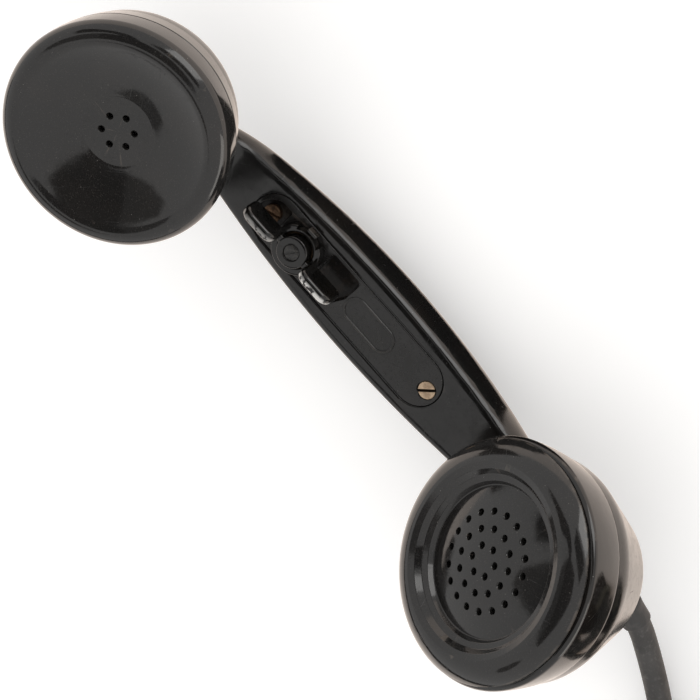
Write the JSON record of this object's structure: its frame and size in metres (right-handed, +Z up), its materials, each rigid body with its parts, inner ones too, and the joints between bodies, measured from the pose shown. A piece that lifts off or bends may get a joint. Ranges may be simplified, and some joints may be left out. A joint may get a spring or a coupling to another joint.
{
  "type": "field telephone handset",
  "caption": "Field telephone handset with screwed ear and mouth caps, a sprung butterfly talk key on the grip, capsules inside, and a coiled cord to a pin plug.",
  "frame": {"origin": "on the floor under the middle of the handset, which lies on the arched back of its grip", "axes": "+X runs from the ear end to the mouth end, +Z points up, out of the flat inner face of the grip, and the handset is symmetric about the plane y = 0"},
  "size_m": [0.3499, 0.0986, 0.0745],
  "materials": {
    "phenolic": "moulded black phenolic, polished by use, with dust and fine scratches",
    "cap_phenolic": "moulded black phenolic, slightly duller, with dust and fine scratches",
    "plate_phenolic": "moulded black phenolic, satin",
    "key_phenolic": "moulded black phenolic, glossy",
    "plug_phenolic": "moulded black phenolic",
    "seal_rubber": "soft black rubber",
    "gland_rubber": "soft black rubber, matt",
    "cord_cover": "dark grey rubber cover, matt",
    "tie_strap": "brown strap",
    "capsule_metal": "plain aluminium",
    "diaphragm_metal": "thin steel sheet",
    "magnet": "cast magnet alloy, dark",
    "pole_iron": "soft iron",
    "coil_winding": "enamelled copper winding",
    "chamber_brass": "plain brass",
    "insulator": "brown laminate",
    "spring_brass": "spring bronze",
    "spring_steel": "spring steel wire",
    "spindle_steel": "turned steel",
    "slide_plastic": "brown laminate",
    "screw_brass": "brass, dulled",
    "pin_brass": "turned brass",
    "wire_cover": "rubber covered wire"
  },
  "bodies": {
    "handset": {"handset_body": "phenolic", "ear_collar": "phenolic", "mouth_collar": "phenolic", "switch_plate": "plate_phenolic", "receiver_case": "capsule_metal", "transmitter_case": "capsule_metal", "receiver_diaphragm": "diaphragm_metal", "transmitter_diaphragm": "diaphragm_metal", "receiver_magnet": "magnet", "receiver_poles": "pole_iron", "receiver_coil_1": "coil_winding", "receiver_coil_2": "coil_winding", "carbon_chamber": "chamber_brass", "ear_terminal_disc": "insulator", "mouth_terminal_disc": "insulator", "contact_block": "insulator", "ear_contact_spring_1": "spring_brass", "ear_contact_spring_2": "spring_brass", "mouth_contact_spring_1": "spring_brass", "mouth_contact_spring_2": "spring_brass", "plate_screw_mouth": "screw_brass", "plate_screw_ear": "screw_brass", "key_return_spring": "spring_steel", "contact_leaf_1": "spring_brass", "contact_leaf_2": "spring_brass", "block_screw_1": "spindle_steel", "block_screw_2": "spindle_steel", "ear_wire_1": "wire_cover", "ear_wire_2": "wire_cover", "mouth_wire_1": "wire_cover", "mouth_wire_2": "wire_cover", "cord_gland": "gland_rubber", "cord_ferrule": "screw_brass", "cord_core_1": "wire_cover", "cord_core_2": "wire_cover", "cord_lead": "cord_cover", "cord_coil": "cord_cover", "cord_tail": "cord_cover", "cord_tie": "tie_strap", "plug_nut": "plug_phenolic", "plug_body": "plug_phenolic", "plug_pin_1": "pin_brass", "plug_pin_2": "pin_brass", "plug_pin_3": "pin_brass", "plug_pin_4": "pin_brass"},
    "ear_seal": {"ear_seal_ring": "seal_rubber"},
    "ear_cap": {"ear_cap": "cap_phenolic"},
    "mouth_seal": {"mouth_seal_ring": "seal_rubber"},
    "mouth_cap": {"mouth_cap": "cap_phenolic"},
    "key": {"talk_key": "key_phenolic", "key_spindle": "spindle_steel", "key_screw": "screw_brass", "key_ring": "screw_brass"},
    "contact_slide": {"contact_slide": "slide_plastic"}
  },
  "joints": [
    {"name": "ear_cap_lift", "type": "slide", "parent": "handset", "child": "ear_seal", "axis": [0.1564, 0, 0.9877], "range_m": [0, 0.0075]},
    {"name": "ear_cap_turn", "type": "hinge", "parent": "ear_seal", "child": "ear_cap", "pos_m": [-0.0784, 0, 0.0544], "axis": [0.1564, 0, 0.9877], "range_deg": [0, 901]},
    {"name": "mouth_cap_lift", "type": "slide", "parent": "handset", "child": "mouth_seal", "axis": [-0.5255, 0, 0.8508], "range_m": [0, 0.008]},
    {"name": "mouth_cap_turn", "type": "hinge", "parent": "mouth_seal", "child": "mouth_cap", "pos_m": [0.0716, 0, 0.0583], "axis": [-0.5255, 0, 0.8508], "range_deg": [0, 961]},
    {"name": "talk_key_turn", "type": "hinge", "parent": "handset", "child": "key", "pos_m": [-0.02525, 0, 0.0223], "axis": [0, 0, 1], "range_deg": [-17, 17], "stiffness_Nm_per_rad": 0.012},
    {"name": "contact_travel", "type": "slide", "parent": "handset", "child": "contact_slide", "axis": [1, 0, 0], "range_m": [-0.0011, 0.0011]}
  ],
  "couplings": [
    {"joint": "ear_cap_turn", "follows": "ear_cap_lift", "rad_per_m": 2094.4},
    {"joint": "mouth_cap_turn", "follows": "mouth_cap_lift", "rad_per_m": 2094.4},
    {"joint": "contact_travel", "follows": "talk_key_turn", "m_per_rad": -0.0034}
  ]
}
